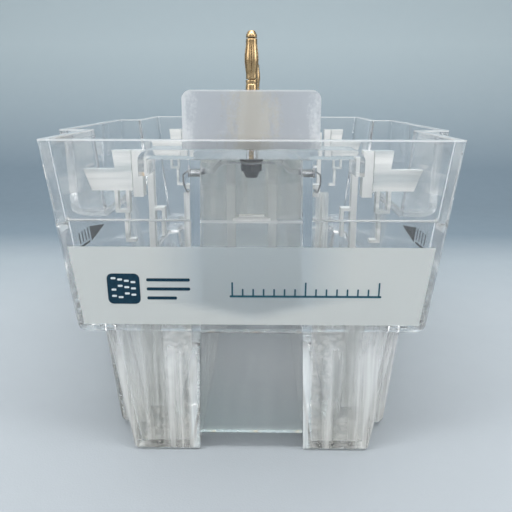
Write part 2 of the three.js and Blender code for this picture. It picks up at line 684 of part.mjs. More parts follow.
// Channel that carries the slot between the two posts down to the leg floor
function cassetteRail(side, end) {
  const outer = POST_OUTER;
  const inner = INNER_POST_INNER;
  const back = STATION_Y;
  const web = back - RAIL_WEB;
  const mouth = back - RAIL_DEPTH;
  const points = [
    [outer, back], [inner, back], [inner, mouth], [INNER_POST_OUTER, mouth],
    [INNER_POST_OUTER, web], [POST_INNER, web], [POST_INNER, mouth], [outer, mouth],
  ];
  const shape = new THREE.Shape(points.map(([x, y]) => new THREE.Vector2(side * x, end * y)));
  const depth = RAIL_TOP - LEG_FLOOR - FIT;
  const geometry = new THREE.ExtrudeGeometry(shape, { depth, bevelEnabled: false });
  return geometry.translate(0, 0, LEG_FLOOR + FIT);
}

// C-shaped clip bonded to the tunnel wall, slotted from its tip
function wireClip(side, end) {
  const bottom = CLIP_CENTRE_Z - CLIP_HEIGHT / 2;
  const top = CLIP_CENTRE_Z + CLIP_HEIGHT / 2;
  const root = tunnelWetFace(bottom) + FIT;
  const tip = root + CLIP_REACH;
  const slotLow = CLIP_CENTRE_Z - CLIP_SLOT / 2;
  const slotHigh = CLIP_CENTRE_Z + CLIP_SLOT / 2;
  const outline = [
    [root, bottom], [tip, bottom], [tip, slotLow], [tip - CLIP_SLOT_DEPTH, slotLow],
    [tip - CLIP_SLOT_DEPTH, slotHigh], [tip, slotHigh], [tip, top], [root, top],
  ];
  return plate(outline.map(([x, z]) => [side * x, z]), end * STATION_Y, end * (STATION_Y - CLIP_LENGTH));
}

for (const [endName, end] of ends) {
  for (const [sideName, side] of sides) {
    addMesh(`${endName}_${sideName}_guide_arm`, guideArm(side, end), frosted);
    addMesh(`${endName}_${sideName}_post`, post(side, end), frosted);
    addMesh(`${endName}_${sideName}_inner_post`, innerPost(side, end), frosted);
    addMesh(`${endName}_${sideName}_cassette_rail`, cassetteRail(side, end), clear);
    addMesh(`${endName}_${sideName}_wire_clip`, wireClip(side, end), frosted);
  }
}

// ---- Electrodes -----------------------------------------------------------------------------

// Pin through the tunnel wall, with its head on the wet side
function feedthrough(side, end) {
  const { z, y } = pinPlace(end);
  const dry = tunnelHalfWidth(z) - 1;
  const wet = tunnelWetFace(z) + FIT;
  const points = [[0, dry], [PIN_RADIUS, dry], [PIN_RADIUS, wet], [PIN_HEAD_RADIUS, wet],
    [PIN_HEAD_RADIUS, wet + PIN_HEAD], [0, wet + PIN_HEAD]];
  const profile = points.map(([radius, x]) => new THREE.Vector2(radius, x));
  const geometry = new THREE.LatheGeometry(profile, 16);
  return geometry.rotateZ(-side * (Math.PI / 2)).translate(0, y, z);
}

function lead(side, end) {
  const { z, y } = pinPlace(end);
  const start = TERMINAL_REACH + LEAD_RADIUS;
  const startZ = TERMINAL_TOP - TERMINAL_THICKNESS / 2;
  const stop = tunnelHalfWidth(z) - 1 - FIT;
  const wallX = tunnelHalfWidth(startZ) - LEAD_RADIUS - 3 * FIT;
  const plugY = end * PLUG_Y;
  if (end < 0) {
    return wire([[side * start, plugY, startZ], [side * (start + 2), plugY, startZ],
      [side * (wallX - 2), y, z], [side * stop, y, z]], LEAD_RADIUS, 16);
  }
  return wire([[side * start, plugY, startZ], [side * (wallX - 2), plugY, startZ],
    [side * wallX, plugY - 1.5, startZ - 4], [side * wallX, y, startZ - 20],
    [side * wallX, y, z + 14], [side * (wallX - 1), y, z + 5], [side * (stop - 3), y, z],
    [side * stop, y, z]], LEAD_RADIUS, 60);
}

function cathodeWire(side) {
  const { z, y } = pinPlace(-1);
  const start = tunnelWetFace(z) + FIT + PIN_HEAD + FIT;
  const slotX = tunnelWetFace(CLIP_CENTRE_Z - CLIP_HEIGHT / 2) + FIT + CLIP_REACH - CLIP_SLOT_DEPTH / 2;
  return wire([[side * start, y, z], [side * (start + 1.5), y, z], [side * slotX, y + 6, z - 5],
    [side * slotX, -STATION_Y - 4, CLIP_CENTRE_Z], [side * slotX, 0, CLIP_CENTRE_Z],
    [side * slotX, STATION_Y + 2, CLIP_CENTRE_Z]], WIRE_RADIUS, 48);
}

// Halfway between the tunnel wall and the cassette rails
const ANODE_WIRE_X = (tunnelWetFace(0) + INNER_POST_INNER) / 2;

function anodeWire(side) {
  const { z, y } = pinPlace(1);
  const start = tunnelWetFace(z) + FIT + PIN_HEAD + FIT;
  const postY = -(RIM_Y - ANODE_POST_INSET) + ANODE_POST_RADIUS + FIT;
  return wire([[side * start, y, z], [side * (start + 2), y, z], [side * ANODE_WIRE_X, y - 10, ANODE_WIRE_Z],
    [side * ANODE_WIRE_X, y - 20, ANODE_WIRE_Z], [side * ANODE_WIRE_X, 0, ANODE_WIRE_Z],
    [side * ANODE_WIRE_X, postY, ANODE_WIRE_Z]], WIRE_RADIUS, 48);
}

function anodePost(side) {
  const bottom = LEG_FLOOR + FIT;
  const top = ANODE_WIRE_Z + 2;
  const geometry = turned([[0, bottom], [ANODE_POST_RADIUS, bottom], [ANODE_POST_RADIUS, top], [0, top]],
    -(RIM_Y - ANODE_POST_INSET), 16);
  return geometry.translate(side * ANODE_WIRE_X, 0, 0);
}

for (const [sideName, side] of sides) {
  for (const [endName, end] of ends) {
    addMesh(`${endName}_${sideName}_feedthrough`, feedthrough(side, end), steel);
    addMesh(`${endName}_${sideName}_lead`, lead(side, end), insulation);
  }
  addMesh(`${sideName}_cathode_wire`, cathodeWire(side), steel);
  addMesh(`${sideName}_anode_wire`, anodeWire(side), steel);
  addMesh(`${sideName}_anode_post`, anodePost(side), clear);
}

// ---- Label film on the front wall -----------------------------------------------------------

function frontLabel() {
  const low = boxHalfWidth(LABEL_BOTTOM) - LABEL_SIDE_MARGIN;
  const high = boxHalfWidth(LABEL_TOP) - LABEL_SIDE_MARGIN;
  const faceLow = -boxHalfLength(LABEL_BOTTOM) - FIT;
  const faceHigh = -boxHalfLength(LABEL_TOP) - FIT;
  const level = (z, half, face) => ({
    z,
    ring: [[-half, face - LABEL_THICKNESS], [half, face - LABEL_THICKNESS], [half, face], [-half, face]],
  });
  return loft([level(LABEL_BOTTOM, low, faceLow), level(LABEL_TOP, high, faceHigh)]);
}

addMesh('front_label', frontLabel(), film);

export default tank;
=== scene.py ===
"""Looks of the gel electrophoresis tank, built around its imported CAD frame. Lengths are in metres."""
import json
import math

import bmesh
import bpy
from mathutils import Matrix, Vector


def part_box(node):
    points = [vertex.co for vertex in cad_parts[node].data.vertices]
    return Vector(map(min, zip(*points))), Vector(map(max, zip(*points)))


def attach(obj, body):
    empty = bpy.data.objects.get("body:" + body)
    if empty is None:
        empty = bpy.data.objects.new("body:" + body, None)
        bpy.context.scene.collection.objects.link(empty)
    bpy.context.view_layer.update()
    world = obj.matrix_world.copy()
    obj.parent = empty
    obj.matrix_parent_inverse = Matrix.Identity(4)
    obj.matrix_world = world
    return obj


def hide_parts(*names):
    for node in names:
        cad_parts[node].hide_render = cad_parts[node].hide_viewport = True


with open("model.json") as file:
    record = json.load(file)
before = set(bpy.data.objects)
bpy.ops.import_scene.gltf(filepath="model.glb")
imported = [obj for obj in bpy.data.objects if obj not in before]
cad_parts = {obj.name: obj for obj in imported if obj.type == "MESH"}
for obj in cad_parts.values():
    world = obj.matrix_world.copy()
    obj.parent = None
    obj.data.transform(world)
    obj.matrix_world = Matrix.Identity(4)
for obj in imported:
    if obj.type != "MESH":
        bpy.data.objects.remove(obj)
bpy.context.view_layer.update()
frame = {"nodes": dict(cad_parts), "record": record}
NODES = frame["nodes"]
MM = 0.001
ENDS = ("front", "rear")
SIDES = (("left", -1), ("right", 1))
RIM_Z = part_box("tank_body")[1].z
FRONT_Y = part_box("tank_body")[0].y

# ---- Camera ------------------------------------------------------------------------------------

CAMERA_DISTANCE = 0.1919  # in front of the front rim
CAMERA_ABOVE_RIM = 0.0144
CAMERA_OFFSET = 0.0035  # to the right of the middle plane
CAMERA_PITCH = 0.2797  # radians below the horizontal
CAMERA_YAW = 0.0091
CAMERA_ROLL = 0.0024
CAMERA_LENS = 39.3  # the lens and the sensor are in millimetres
CAMERA_SENSOR = 36


def add_camera():
    data = bpy.data.cameras.new("camera")
    data.sensor_width = CAMERA_SENSOR
    data.lens = CAMERA_LENS
    data.clip_start = 10 * MM
    camera = bpy.data.objects.new("camera", data)
    bpy.context.scene.collection.objects.link(camera)
    turn = Matrix.Rotation(CAMERA_YAW, 4, "Z")
    tilt = Matrix.Rotation(math.pi / 2 - CAMERA_PITCH, 4, "X")
    roll = Matrix.Rotation(CAMERA_ROLL, 4, "Z")
    place = Matrix.Translation((CAMERA_OFFSET, FRONT_Y - CAMERA_DISTANCE, RIM_Z + CAMERA_ABOVE_RIM))
    camera.matrix_world = place @ turn @ tilt @ roll
    bpy.context.scene.camera = camera


add_camera()

# ---- Material nodes ----------------------------------------------------------------------------

NOISE_LOW = 0.3  # most of a noise texture lies between these two
NOISE_HIGH = 0.7
EVEN = (1, 1, 1)  # stretches of a noise texture: a small number draws it out along that axis
UPRIGHT = (1, 1, 0.03)


class Finish:
    """A node material with a Principled shader and procedural inputs."""

    def __init__(self, name, **values):
        """Values are for shader sockets, with _ for the spaces in their names."""
        self.material = bpy.data.materials.new(name)
        self.material.use_nodes = True
        self.nodes = self.material.node_tree.nodes
        self.links = self.material.node_tree.links
        self.shader = self.nodes["Principled BSDF"]
        self.place = self.nodes.new("ShaderNodeTexCoord").outputs["Object"]
        for socket, value in values.items():
            self.shader.inputs[socket.replace("_", " ")].default_value = value

    def axes(self):
        """The x, y and z of the shaded point."""
        split = self.nodes.new("ShaderNodeSeparateXYZ")
        self.links.new(self.place, split.inputs["Vector"])
        return split.outputs["X"], split.outputs["Y"], split.outputs["Z"]

    def noise(self, scale, detail=4.0, stretch=EVEN):
        mapping = self.nodes.new("ShaderNodeMapping")
        mapping.inputs["Scale"].default_value = stretch
        self.links.new(self.place, mapping.inputs["Vector"])
        texture = self.nodes.new("ShaderNodeTexNoise")
        texture.inputs["Scale"].default_value = scale
        texture.inputs["Detail"].default_value = detail
        self.links.new(mapping.outputs["Vector"], texture.inputs["Vector"])
        return texture.outputs["Fac"]

    def math(self, operation, *values):
        """A math node on floats and sockets."""
        node = self.nodes.new("ShaderNodeMath")
        node.operation = operation
        for value, socket in zip(values, node.inputs):
            if isinstance(value, float):
                socket.default_value = value
            else:
                self.links.new(value, socket)
        return node.outputs["Value"]

    def within(self, value, middle, half):
        """1 where value is less than half away from middle, otherwise 0."""
        away = self.math("ABSOLUTE", self.math("SUBTRACT", value, middle))
        return self.math("LESS_THAN", away, half)

    def scale(self, value, from_low, from_high, low, high):
        """Maps a value from one range to another, which it doesn't leave."""
        node = self.nodes.new("ShaderNodeMapRange")
        limits = {"From Min": from_low, "From Max": from_high, "To Min": low, "To Max": high}
        for socket, limit in limits.items():
            node.inputs[socket].default_value = limit
        self.links.new(value, node.inputs["Value"])
        return node.outputs["Result"]

    def colour(self, factor, stops):
        """Colours the surface by a 0 to 1 factor, through (factor, colour) stops."""
        ramp = self.nodes.new("ShaderNodeValToRGB")
        first, last = ramp.color_ramp.elements
        first.position, first.color = stops[0]
        last.position, last.color = stops[-1]
        for position, colour in stops[1:-1]:
            ramp.color_ramp.elements.new(position).color = colour
        self.links.new(factor, ramp.inputs["Fac"])
        self.links.new(ramp.outputs["Color"], self.shader.inputs["Base Color"])

    def mottle(self, noise, dark, light):
        self.colour(noise, [(NOISE_LOW, dark), (NOISE_HIGH, light)])

    def roughness(self, noise, low, high):
        value = self.scale(noise, NOISE_LOW, NOISE_HIGH, low, high)
        self.links.new(value, self.shader.inputs["Roughness"])

    def clearness(self, value):
        self.links.new(value, self.shader.inputs["Transmission Weight"])

    def bump(self, height, strength, depth):
        bump = self.nodes.new("ShaderNodeBump")
        bump.inputs["Strength"].default_value = strength
        bump.inputs["Distance"].default_value = depth
        self.links.new(height, bump.inputs["Height"])
        self.links.new(bump.outputs["Normal"], self.shader.inputs["Normal"])


# ---- Materials ---------------------------------------------------------------------------------

FULLY_CLEAR = 0.972
PAINTED_HIGHLIGHT_DEPTH = 0.5 * MM  # of the painted highlight: a thin, whiter and less clear band on the rim and on the end steps
STEP_Z = 96 * MM  # top of the end steps
STEP_INSETS = (2.8 * MM, 9.4 * MM)  # where they start and stop, behind the end rim
STREAK_FADE = (46 * MM, 66 * MM)  # the streaks in clear plastic fade out between these heights
STREAK_RAGGED = 12 * MM  # by which a point's height is off in that fade, at most
STREAK_NOISE = (0.36, 0.62)  # between which a streak's noise counts
TINT_FADE = 80 * MM  # low_tint fades out within this height

RIB_X = 7.7 * MM  # middle of a rib, from the middle of the rib panel
RIB_HALF_WIDTH = 1.6 * MM
RIB_DROP = 3 * MM  # from the top of the panel to the top of its ribs
HAZE_DROPS = (2 * MM, 6 * MM)  # from the top of the panel to where its haze starts and is full
HAZE_RAGGED = 12 * MM
# Painted highlights of a ledge: whiter, denser bars across the rib panel.
PAINTED_LEDGE_HIGHLIGHTS = (  # height of the middle, half height and half width
    (94.6 * MM, 1.0 * MM, 7 * MM),
    (96.2 * MM, 0.4 * MM, 4.7 * MM),
)


def make_clear(name, least, most, low_tint, highlight_z, highlight_haze):
    """Clear plastic. Near the floor it has upright streaks, of clearness least to most, and low_tint.
    Above the highlight height and on the end steps it is whiter and less clear by the highlight haze: a
    painted highlight."""
    finish = Finish(name, IOR=1.54)
    _, along, height = finish.axes()
    # Upright streaks near the floor, fading out higher up: flow lines, and where they are milky, as on the
    # tank body, also painted light that brightens the low walls.
    streaks = finish.scale(finish.noise(230, 3, UPRIGHT), *STREAK_NOISE, least, most)
    ragged = finish.math("MULTIPLY", finish.noise(45, 5), STREAK_RAGGED)
    fade = finish.scale(finish.math("ADD", height, ragged), *STREAK_FADE, 0.0, 1.0)
    rise = finish.math("MULTIPLY", fade, finish.math("SUBTRACT", FULLY_CLEAR, streaks))

    # Painted highlight: above the highlight height and on the tops of the end steps the plastic is whiter and
    # less clear, standing in for the overhead light these edges catch.
    rim = finish.math("GREATER_THAN", height, highlight_z)
    step = finish.within(height, STEP_Z, PAINTED_HIGHLIGHT_DEPTH)
    from_middle = finish.math("ABSOLUTE", along)
    for operation, inset in zip(("LESS_THAN", "GREATER_THAN"), STEP_INSETS):
        step = finish.math("MULTIPLY", step, finish.math(operation, from_middle, -FRONT_Y - inset))
    painted_highlight = finish.math("MULTIPLY", finish.math("MAXIMUM", rim, step), highlight_haze)
    finish.clearness(finish.math("SUBTRACT", finish.math("ADD", streaks, rise), painted_highlight))

    patches = finish.math("MULTIPLY", finish.noise(18), 0.6)
    tint = finish.math("ADD", finish.math("DIVIDE", height, TINT_FADE), patches)
    finish.colour(tint, [(0.25, low_tint), (0.75, (0.98, 0.992, 0.988, 1)), (1.0, (0.995, 1.0, 1.0, 1))])
    finish.roughness(finish.noise(140, 8), 0.0, 0.06)
    finish.bump(finish.noise(30, 2), 0.08, 0.4 * MM)
    return finish.material


def make_frosted():
    """Plug guard: darker and warmer towards its middle, pale rubbed marks near its sides, and a whiter top
    edge that is a painted highlight.
    """
    finish = Finish("frosted_polycarbonate", IOR=1.45)
    across, _, height = finish.axes()
    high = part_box("front_plug_guard")[1]
    aside = finish.math("DIVIDE", finish.math("ABSOLUTE", across), high.x)
    wobble = finish.math("MULTIPLY", finish.noise(900, 6), 0.5)
    rubbed = finish.math("MULTIPLY", finish.noise(420, 6, (1, 1, 0.25)), 0.7)
    marks = finish.math("SUBTRACT", finish.math("ADD", wobble, rubbed), 0.60)
    # Painted highlight: the top edge is whiter and less clear, as if catching the overhead light.
    painted_top_highlight = finish.math("GREATER_THAN", height, high.z - PAINTED_HIGHLIGHT_DEPTH)
    share = finish.math("ADD", finish.math("ADD", aside, marks), painted_top_highlight)
    finish.clearness(finish.scale(share, 0.16, 0.4, 0.42, 0.66))
    finish.colour(share, [(0.18, (0.59, 0.58, 0.54, 1)), (0.40, (0.63, 0.65, 0.68, 1)),
                          (0.80, (0.65, 0.67, 0.70, 1)), (1.0, (0.93, 0.94, 0.95, 1))])
    finish.roughness(finish.noise(400, 6), 0.28, 0.42)
    finish.bump(finish.noise(2500, 3), 0.25, 0.05 * MM)
    return finish.material


def make_milky():
    finish = Finish("milky_polycarbonate", Transmission_Weight=0.38, IOR=1.5)
    finish.mottle(finish.noise(120), (0.93, 0.94, 0.93, 1), (1.0, 1.0, 0.98, 1))
    finish.roughness(finish.noise(500, 6), 0.06, 0.18)
    finish.bump(finish.noise(900, 4), 0.2, 0.05 * MM)
    return finish.material


def make_banded():
    """Guide arm: clearer and milkier level bands."""
    finish = Finish("banded_polycarbonate", IOR=1.5)
    bands = finish.noise(110, 3, (0.12, 0.3, 1.6))
    finish.clearness(finish.scale(bands, NOISE_LOW, NOISE_HIGH, 0.62, 0.22))
    finish.colour(bands, [(0.36, (0.80, 0.84, 0.84, 1)), (0.60, (1.0, 1.0, 0.98, 1))])
    finish.roughness(finish.noise(400, 6, (0.3, 0.3, 1)), 0.04, 0.2)
    finish.bump(finish.noise(240, 4, (0.2, 0.3, 1)), 0.5, 0.4 * MM)
    return finish.material


def make_striated():
    """Cassette rail: the upright milky flow lines of a deep, narrow moulding."""
    finish = Finish("striated_polycarbonate", IOR=1.5)
    flow_lines = finish.noise(330, 3, UPRIGHT)
    finish.clearness(finish.scale(flow_lines, NOISE_LOW, NOISE_HIGH, 0.25, 0.95))
    finish.mottle(finish.noise(120), (0.90, 0.92, 0.90, 1), (1.0, 1.0, 0.99, 1))
    finish.roughness(finish.noise(300, 5), 0.04, 0.16)
    finish.bump(flow_lines, 0.6, 0.4 * MM)
    return finish.material


def make_hazed():
    """Rib panel: haze with a ragged upper edge, milky ribs, and a painted highlight in two steps: whiter,
    denser crossbars where a ledge catches the light.
    """
    finish = Finish("hazed_polycarbonate", IOR=1.5)
    across, _, height = finish.axes()
    aside = finish.math("ABSOLUTE", across)
    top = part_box("front_rib_panel")[1].z
    haze_density, rib_density, highlight_density = 0.16, 0.25, 0.9
    ragged = finish.math("ADD", height, finish.math("MULTIPLY", finish.noise(220, 5), HAZE_RAGGED))
    haze = finish.scale(ragged, top - HAZE_DROPS[0], top - HAZE_DROPS[1], 0.0, haze_density)
    low_enough = finish.math("LESS_THAN", height, top - RIB_DROP)
    ribs = finish.math("MULTIPLY", finish.within(aside, RIB_X, RIB_HALF_WIDTH), low_enough)
    dense = finish.math("ADD", haze, finish.math("MULTIPLY", ribs, rib_density))
    # Painted highlight: two whiter, denser crossbars where a ledge catches the light.
    for middle, half_height, half_width in PAINTED_LEDGE_HIGHLIGHTS:
        ledge_highlight = finish.math("MULTIPLY", finish.within(height, middle, half_height),
                          finish.math("LESS_THAN", aside, half_width))
        dense = finish.math("MAXIMUM", dense, finish.math("MULTIPLY", ledge_highlight, highlight_density))
    finish.clearness(finish.math("SUBTRACT", FULLY_CLEAR, dense))
    finish.mottle(finish.noise(90), (0.86, 0.87, 0.83, 1), (0.98, 0.98, 0.95, 1))
    finish.roughness(finish.noise(300, 5), 0.02, 0.12)
    finish.bump(finish.noise(500, 3), 0.15, 0.1 * MM)
    return finish.material


def make_film():
    """Label film: denser and whiter towards its sides and in its lowest part, clearer and bluer in its
    middle: painted light and shade standing in for the bright and dark things behind it.
    """
    finish = Finish("label_film", IOR=1.3)
    across, _, height = finish.axes()
    low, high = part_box("front_label")
    tall = high.z - low.z
    lowest_part = 0.3 * tall
    aside = finish.math("DIVIDE", finish.math("ABSOLUTE", across), high.x)
    below = finish.math("DIVIDE", finish.math("SUBTRACT", low.z + lowest_part, height), tall)
    below = finish.math("MULTIPLY", finish.math("MAXIMUM", below, 0.0), 2.0)
    patches = finish.math("MULTIPLY", finish.noise(40, 4), 0.12)
    share = finish.math("ADD", finish.math("ADD", aside, below), patches)
    thin, full = 0.32, 0.62
    finish.colour(share, [(thin, (0.75, 0.80, 0.82, 1)), (full, (0.70, 0.725, 0.71, 1))])
    finish.clearness(finish.scale(share, thin, full, 0.78, 0.42))
    finish.roughness(finish.noise(300, 5), 0.35, 0.5)
    finish.bump(finish.noise(700, 3), 0.1, 0.03 * MM)
    return finish.material


def make_sleeve():
    finish = Finish("wire_insulation", Transmission_Weight=0.75, IOR=1.4)
    finish.mottle(finish.noise(600), (0.84, 0.86, 0.86, 1), (0.95, 0.96, 0.96, 1))
    finish.roughness(finish.noise(800, 5), 0.1, 0.25)
    finish.bump(finish.noise(1800, 3), 0.15, 0.03 * MM)
    return finish.material


def make_gold():
    finish = Finish("gold_plate", Metallic=1.0)
    worn = finish.noise(500, 5, (1, 1, 0.2))
    finish.colour(worn, [(0.25, (0.30, 0.19, 0.09, 1)), (0.75, (0.62, 0.46, 0.26, 1))])
    finish.roughness(finish.noise(900, 6), 0.18, 0.38)
    finish.bump(finish.noise(1500, 3, (0.1, 0.1, 3)), 0.25, 0.02 * MM)
    return finish.material


def make_metal(name, dark, light, roughness):
    finish = Finish(name, Metallic=1.0)
    finish.mottle(finish.noise(700, 5), dark, light)
    finish.roughness(finish.noise(900, 4), *roughness)
    finish.bump(finish.noise(2000, 3), 0.15, 0.02 * MM)
    return finish.material


def make_plain(name, dark, light, roughness, gloss=0.5):
    """An opaque rubber or ink."""
    finish = Finish(name, Specular_IOR_Level=gloss)
    finish.mottle(finish.noise(900, 5), dark, light)
    finish.roughness(finish.noise(450, 4), *roughness)
    finish.bump(finish.noise(1800, 3), 0.2, 0.03 * MM)
    return finish.material


BRIDGE_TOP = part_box("front_bridge")[1].z
# Its teal low_tint is painted shade colour: it turns the shaded floor seen through the tie panels bluish.
CLEAR = make_clear("clear_polycarbonate", least=0.915, most=0.935, low_tint=(0.88, 1.0, 0.99, 1),
                   highlight_z=BRIDGE_TOP - PAINTED_HIGHLIGHT_DEPTH, highlight_haze=0.15)
# Tank body: its milky streaks near the floor are partly flow lines and partly painted light that brightens
# the legs.
STREAKED_AND_LIT = make_clear("streaked_and_lit_polycarbonate", least=0.58, most=FULLY_CLEAR, low_tint=(0.995, 0.99, 0.955, 1),
                     highlight_z=RIM_Z - PAINTED_HIGHLIGHT_DEPTH, highlight_haze=0.42)
FROSTED = make_frosted()
MILKY = make_milky()
BANDED = make_banded()
STRIATED = make_striated()
HAZED = make_hazed()
FILM = make_film()
GOLD = make_gold()
DARK_NUT = make_metal("dark_nut", (0.012, 0.016, 0.02, 1), (0.045, 0.055, 0.07, 1), (0.35, 0.55))
BARE_METAL = make_metal("bare_metal", (0.20, 0.21, 0.22, 1), (0.42, 0.43, 0.45, 1), (0.3, 0.45))
RUBBER = make_plain("black_rubber", (0.012, 0.012, 0.014, 1), (0.03, 0.03, 0.033, 1), (0.7, 0.9))
SLEEVE = make_sleeve()
INK = make_plain("navy_ink", (0.006, 0.026, 0.045, 1), (0.010, 0.040, 0.066, 1), (0.35, 0.5), gloss=0.12)
TEAL_INK = make_plain("teal_ink", (0.015, 0.070, 0.10, 1), (0.025, 0.10, 0.14, 1), (0.35, 0.5), gloss=0.12)
PALE_INK = make_plain("pale_ink", (0.55, 0.60, 0.62, 1), (0.65, 0.70, 0.72, 1), (0.4, 0.5))
SLATE_INK = make_plain("slate_ink", (0.004, 0.009, 0.012, 1), (0.008, 0.016, 0.020, 1), (0.4, 0.55),
                       gloss=0.1)

# ---- Materials and edges of the CAD nodes ------------------------------------------------------

SLOT_FINISH = {
    "clear_polycarbonate": CLEAR,
    "frosted_polycarbonate": MILKY,
    "label_film": FILM,
    "gold_plate": GOLD,
    "dark_nut": DARK_NUT,
    "bare_metal": BARE_METAL,
    "black_rubber": RUBBER,
    "wire_insulation": SLEEVE,
}
NODE_FINISH = {  # by the end of a node's name, and used instead of its slot's finish
    "tank_body": STREAKED_AND_LIT,
    "plug_guard": FROSTED,
    "guide_arm": BANDED,
    "cassette_rail": STRIATED,
    "rib_panel": HAZED,
}
EDGE_WIDTH = {"clear_polycarbonate": 0.35 * MM, "frosted_polycarbonate": 0.45 * MM}
SHARP_ANGLE = math.radians(40)


def soften_edges(node, width):
    bevel = node.modifiers.new("edges", "BEVEL")
    bevel.width = width
    bevel.segments = 2
    bevel.limit_method = "ANGLE"
    bevel.angle_limit = SHARP_ANGLE


def finish_cad_nodes():
    slots = {row["node"]: row["material_slot"] for row in frame["record"]["subparts"]}
    for name, node in NODES.items():
        slot = slots[name]
        material = SLOT_FINISH[slot]
        for ending, special in NODE_FINISH.items():
            if name.endswith(ending):
                material = special
        node.data.materials.clear()
        node.data.materials.append(material)
        if slot in EDGE_WIDTH:
            soften_edges(node, EDGE_WIDTH[slot])


finish_cad_nodes()

# ---- Mesh helpers ------------------------------------------------------------------------------


def add_piece(name, mesh, material, body, smooth=True):
    piece = bpy.data.objects.new(name, mesh)
    bpy.context.scene.collection.objects.link(piece)
    mesh.materials.append(material)
    for polygon in mesh.polygons:
        polygon.use_smooth = smooth
    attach(piece, body)
    return piece


def mesh_from(name, build):
    """A mesh of what build(shape) adds to an empty bmesh."""
    mesh = bpy.data.meshes.new(name)
    shape = bmesh.new()
    build(shape)
    bmesh.ops.recalc_face_normals(shape, faces=shape.faces)
    shape.to_mesh(mesh)
    shape.free()
    return mesh


def turn_profile(shape, profile, centre, steps=64):
    """Adds a body of revolution about the vertical axis through centre; profile is (radius, z) pairs."""
    rings = []
    for radius, z in profile:
        if radius == 0:
            rings.append([shape.verts.new((centre[0], centre[1], z))])
            continue
        ring = []
        for i in range(steps):
            angle = 2 * math.pi * i / steps
            ring.append(shape.verts.new((centre[0] + radius * math.cos(angle),
                                         centre[1] + radius * math.sin(angle), z)))
        rings.append(ring)
    for low, high in zip(rings, rings[1:]):
        for i in range(steps):
            j = (i + 1) % steps
            if len(low) == 1:
                shape.faces.new((low[0], high[j], high[i]))
            elif len(high) == 1:
                shape.faces.new((low[i], low[j], high[0]))
            else:
                shape.faces.new((low[i], low[j], high[j], high[i]))


def rounded(profile, radius, steps=3):
    """Rounds the inner corners of a (radius, z) profile, leaving its two ends as they are."""
    side_share = 0.45  # so that two cuts fit on a side
    points = [Vector(profile[0])]
    for before, corner, after in zip(profile, profile[1:], profile[2:]):
        corner = Vector(corner)
        back = Vector(before) - corner
        ahead = Vector(after) - corner
        cut = min(radius, back.length * side_share, ahead.length * side_share)
        start = corner + back.normalized() * cut
        stop = corner + ahead.normalized() * cut
        for i in range(steps + 1):
            t = i / steps
            points.append(start * (1 - t) ** 2 + corner * 2 * t * (1 - t) + stop * t ** 2)
    points.append(Vector(profile[-1]))
    return [(point.x, point.y) for point in points]


# ---- Plugs -------------------------------------------------------------------------------------

FLANGE_LIFT = 0.3 * MM  # above the bridge
FLANGE_HEIGHT = 2.2 * MM
SHOULDER_HEIGHT = 9 * MM
TIP_HEIGHT = 0.9 * MM  # of the straight part under the pointed end
CAGE_ROOM = 0.3 * MM  # below and above the cage
GROOVE_DROP = 1.3 * MM  # from the top of the contact to the bottom of its groove
GROOVE_DEPTH = 0.25 * MM
GROOVE_HALF = 0.3 * MM
PLUG_EDGE = 0.2 * MM
SHOULDER_SHARE = 0.9  # these three are shares of the flange's radius
CONTACT_SHARE = 2 / 3
STUD_SHARE = 0.48
CORE_SHARE = 0.55  # these three are shares of the contact's radius
TIP_SHARE = 0.93
TIP_END_SHARE = 0.55

LEAVES = 6
LEAF_STEPS = 8
CAGE_STATIONS = 28
CAGE_WALL = 0.32 * MM
RING_SHARE = 0.8  # radius of the cage's two end rings, as a share of its widest
SLOT_SHARE = 0.14  # width of a slot, as a share of a leaf's pitch
RING_MARGIN = 0.13  # height of an end ring, as a share of the cage's
SWELL_MARGIN = 0.1  # height of the straight part at each end, in the same way
SWELL_POWER = 1.6
WELD_DISTANCE = 0.002 * MM


def plug_pin(end_name):
    low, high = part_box(f"{end_name}_plug_pin")
    cage_low, cage_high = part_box(f"{end_name}_plug_cage")
    centre = ((low.x + high.x) / 2, (low.y + high.y) / 2)
    flange = (high.x - low.x) / 2
    shoulder = flange * SHOULDER_SHARE
    contact = flange * CONTACT_SHARE
    stud = flange * STUD_SHARE
    core = contact * CORE_SHARE
    tip = contact * TIP_SHARE
    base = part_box(f"{end_name}_bridge")[1].z + FLANGE_LIFT
    flange_top = base + FLANGE_HEIGHT
    shoulder_top = flange_top + SHOULDER_HEIGHT
    contact_top = cage_low.z - CAGE_ROOM
    groove = contact_top - GROOVE_DROP
    cage_top = cage_high.z + CAGE_ROOM
    profile = [
        (0, low.z), (stud, low.z), (stud, base),
        (flange, base), (flange, flange_top),
        (shoulder, flange_top), (shoulder, shoulder_top),
        (contact, shoulder_top), (contact, groove - GROOVE_HALF),
        (contact - GROOVE_DEPTH, groove), (contact, groove + GROOVE_HALF), (contact, contact_top),
        (core, contact_top), (core, cage_top),
        (tip, cage_top), (tip, cage_top + TIP_HEIGHT), (contact * TIP_END_SHARE, high.z), (0, high.z),
    ]

    def build(shape):
        turn_profile(shape, rounded(profile, PLUG_EDGE), centre)

    mesh = mesh_from(f"{end_name}_plug_turned", build)
    piece = add_piece(f"{end_name}_plug_turned", mesh, GOLD, "tank")
    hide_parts(f"{end_name}_plug_pin")


def cage_radius(share, ring, bulge):
    """Outer radius of the lantern cage from its lower end, at 0, to its upper end, at 1."""
    swell_share = min(max((share - SWELL_MARGIN) / (1 - 2 * SWELL_MARGIN), 0), 1)
    return ring + (bulge - ring) * math.sin(math.pi * swell_share) ** SWELL_POWER


